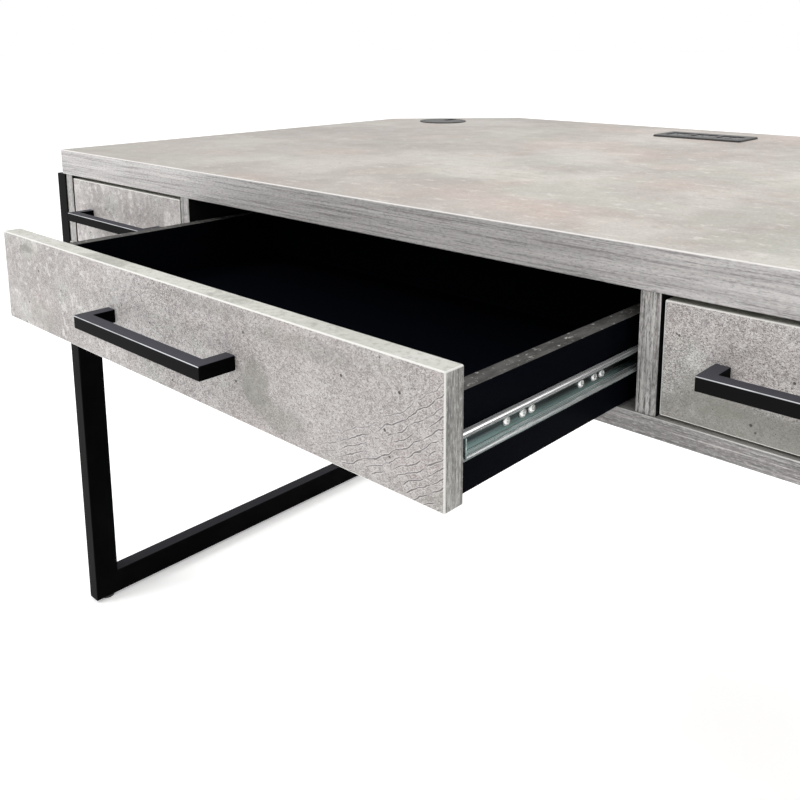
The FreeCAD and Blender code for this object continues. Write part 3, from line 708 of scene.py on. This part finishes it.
def turned_head(name, rings, shank_radius, shank_length, cells):
    """A lathe shape about Z: rings of (radius, height, recess), where a recess is a cross or a hexagon."""
    vertices, faces = [], []
    for radius, height, kind in rings:
        for n in range(cells):
            angle = TAU * n / cells
            r, h = radius, height
            if kind == "cross" and n % (cells // 4) in (0, 1, cells // 4 - 1):
                h -= RECESS
            if kind == "hexagon":
                r *= math.cos(math.pi / 6) / math.cos((angle % (TAU / 6)) - math.pi / 6)
            vertices.append((r * math.cos(angle) * MM, r * math.sin(angle) * MM, h * MM))
    shank = ((shank_radius, 0), (shank_radius, POINT_LENGTH - shank_length), (POINT_RADIUS, -shank_length))
    for radius, height in shank:
        for n in range(cells):
            angle = TAU * n / cells
            vertices.append((radius * math.cos(angle) * MM, radius * math.sin(angle) * MM, height * MM))
    count = len(rings) + 3
    for ring in range(count - 1):
        for n in range(cells):
            a, b = ring * cells + n, ring * cells + (n + 1) % cells
            faces.append((a, b, b + cells, a + cells))
    faces.append(tuple(range(cells)))
    faces.append(tuple((count - 1) * cells + n for n in range(cells)))
    made = new_object(name, vertices, faces)
    tidy_mesh(made, 50)
    return made


def fixings_group():
    """Geometry Nodes: the shape stood on each point, turned to its way and sized, then made real."""
    group = bpy.data.node_groups.new("fixings_on_points", "GeometryNodeTree")
    face = group.interface
    face.new_socket("Points", in_out="INPUT", socket_type="NodeSocketGeometry")
    face.new_socket("Shape", in_out="INPUT", socket_type="NodeSocketObject")
    face.new_socket("Finish", in_out="INPUT", socket_type="NodeSocketMaterial")
    face.new_socket("Result", in_out="OUTPUT", socket_type="NodeSocketGeometry")
    given = add(group, "NodeGroupInput").outputs
    shape = add(group, "GeometryNodeObjectInfo", {"Object": given["Shape"]})
    way = add(group, "GeometryNodeInputNamedAttribute", {"Name": "way"}, data_type="FLOAT_VECTOR")
    size = add(group, "GeometryNodeInputNamedAttribute", {"Name": "size"}, data_type="FLOAT")
    turn = add(group, "FunctionNodeAlignRotationToVector", {"Vector": way.outputs[0]}, axis="Z")
    stood = add(
        group, "GeometryNodeInstanceOnPoints",
        {"Points": given["Points"], "Instance": shape.outputs["Geometry"], "Rotation": turn.outputs[0],
         "Scale": size.outputs[0]},
    )
    real = add(group, "GeometryNodeRealizeInstances", {0: stood.outputs[0]})
    worn = add(group, "GeometryNodeSetMaterial", {"Geometry": real.outputs[0], "Material": given["Finish"]})
    add(group, "NodeGroupOutput", {0: worn.outputs[0]})
    return group


def stand_fixings(name, body, node, shape, full_radius, finish):
    """Replaces a CAD node of screws or bolts with detailed ones at the same places."""
    places = fixing_places(node)
    points = []
    for seat, way, radius in places:
        size = radius / (full_radius * MM)
        if radius < PLAIN_PIN * MM:
            size = SUNK_HEAD / full_radius
            seat = seat - way * HEAD_HEIGHT * size * MM
        points.append((seat, way, size))
    holder = new_object(name, [tuple(p[0]) for p in points], [])
    attributes = holder.data.attributes
    attributes.new("way", "FLOAT_VECTOR", "POINT")
    attributes.new("size", "FLOAT", "POINT")
    for n, (seat, way, size) in enumerate(points):
        attributes["way"].data[n].vector = way
        attributes["size"].data[n].value = size
    modifier = holder.modifiers.new("fixings", "NODES")
    modifier.node_group = FIXINGS
    for item in FIXINGS.interface.items_tree:
        if item.in_out == "INPUT" and item.name == "Shape":
            modifier[item.identifier] = shape
        if item.in_out == "INPUT" and item.name == "Finish":
            modifier[item.identifier] = finish
    bpy.context.view_layer.update()
    ready = holder.evaluated_get(bpy.context.evaluated_depsgraph_get())
    mesh = bpy.data.meshes.new_from_object(ready)
    holder.modifiers.remove(modifier)
    holder.data = mesh
    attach(holder, body)
    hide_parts(node)


PAN_RINGS = (
    (0.45, 1.15, "cross"), (0.9, 2.1, "cross"), (1.35, 2.05, "cross"), (1.75, 1.95, "round"),
    (2.3, 1.75, "round"), (2.8, 1.4, "round"), (3.15, 0.9, "round"), (3.3, 0.4, "round"), (3.3, 0, "round"),
)
BUTTON_RINGS = (
    (0.4, 1.0, "hexagon"), (2.1, 1.2, "hexagon"), (2.3, 2.9, "hexagon"), (2.7, 3.0, "round"),
    (3.6, 2.75, "round"), (4.5, 2.2, "round"), (5.1, 1.4, "round"), (5.5, 0.5, "round"), (5.5, 0, "round"),
)
FIXINGS = fixings_group()
pan_screw = turned_head("pan_screw_shape", PAN_RINGS, 1.4, 11, 24)
button_bolt = turned_head("button_bolt_shape", BUTTON_RINGS, 2.8, 20, 24)
for drawer in DRAWERS:
    stand_fixings(
        drawer + "_cross_screws", drawer + "_drawer", drawer + "_drawer_screws",
        pan_screw, 2.85, screw_nickel,
    )
stand_fixings("case_cross_screws", "desk", "case_screws", pan_screw, 3.3, screw_nickel)
stand_fixings("socket_head_bolts", "desk", "frame_bolts", button_bolt, 5.5, screw_nickel)
for shape in (pan_screw, button_bolt):
    bpy.data.objects.remove(shape)


# ---------------------------------------------------------------- studio

FLOOR_HALF = 60
KEY_AT, KEY_AIM = (-1.7, -2.3, 2.7), (0, -0.2, 0.7)
CEILING_AT, CEILING_AIM = (0.2, 0.9, 3.0), (0, 0, 0.6)
VIEW_FROM = (0.6564, -0.9603, 0.9206)
LENS, TURN = 40.6, -0.7559
TILT, ROLL = math.radians(-11.21), math.radians(-0.23)
SHIFT = -0.225


def flat_plane(name, half, z):
    """A level square about the origin, half its side either way."""
    mesh = bpy.data.meshes.new(name)
    corners = [(-half, -half, z), (half, -half, z), (half, half, z), (-half, half, z)]
    mesh.from_pydata(corners, [], [(0, 1, 2, 3)])
    made = bpy.data.objects.new(name, mesh)
    bpy.context.scene.collection.objects.link(made)
    return made


def area_light(name, at, aim, size, watts):
    """A softbox at one point, aimed at another."""
    data = bpy.data.lights.new(name, "AREA")
    data.shape = "RECTANGLE"
    data.size, data.size_y = size
    data.energy = watts
    made = bpy.data.objects.new(name, data)
    made.location = at
    made.rotation_euler = (Vector(aim) - Vector(at)).to_track_quat("-Z", "Y").to_euler()
    bpy.context.scene.collection.objects.link(made)
    return made


def studio():
    """A pale floor, an even white surround and two softboxes."""
    floor = flat_plane("studio_floor", FLOOR_HALF, 0)
    wear(floor, studio_floor())
    world = bpy.data.worlds.new("studio_world")
    world.use_nodes = True
    world.node_tree.nodes["Background"].inputs[0].default_value = (1, 1, 1, 1)
    world.node_tree.nodes["Background"].inputs[1].default_value = 1.0
    bpy.context.scene.world = world
    bpy.context.scene.view_settings.view_transform = "Standard"
    area_light("key_softbox", KEY_AT, KEY_AIM, size=(0.9, 0.9), watts=36)
    area_light("ceiling_softbox", CEILING_AT, CEILING_AIM, size=(1.6, 1.6), watts=14)


def camera():
    """The viewpoint stands at the right front corner and looks back to the left, a little down."""
    ahead = Vector((math.sin(TURN) * math.cos(TILT), math.cos(TURN) * math.cos(TILT), math.sin(TILT)))
    right = Vector((math.cos(TURN), -math.sin(TURN), 0))
    up = right.cross(ahead)
    right, up = (
        right * math.cos(ROLL) + up * math.sin(ROLL),
        up * math.cos(ROLL) - right * math.sin(ROLL),
    )
    data = bpy.data.cameras.new("viewpoint")
    data.lens = LENS
    data.shift_y = SHIFT
    made = bpy.data.objects.new("viewpoint", data)
    turned = Matrix((right, up, -ahead)).transposed().to_4x4()
    made.matrix_world = Matrix.Translation(VIEW_FROM) @ turned
    bpy.context.scene.collection.objects.link(made)
    bpy.context.scene.camera = made


studio()
camera()
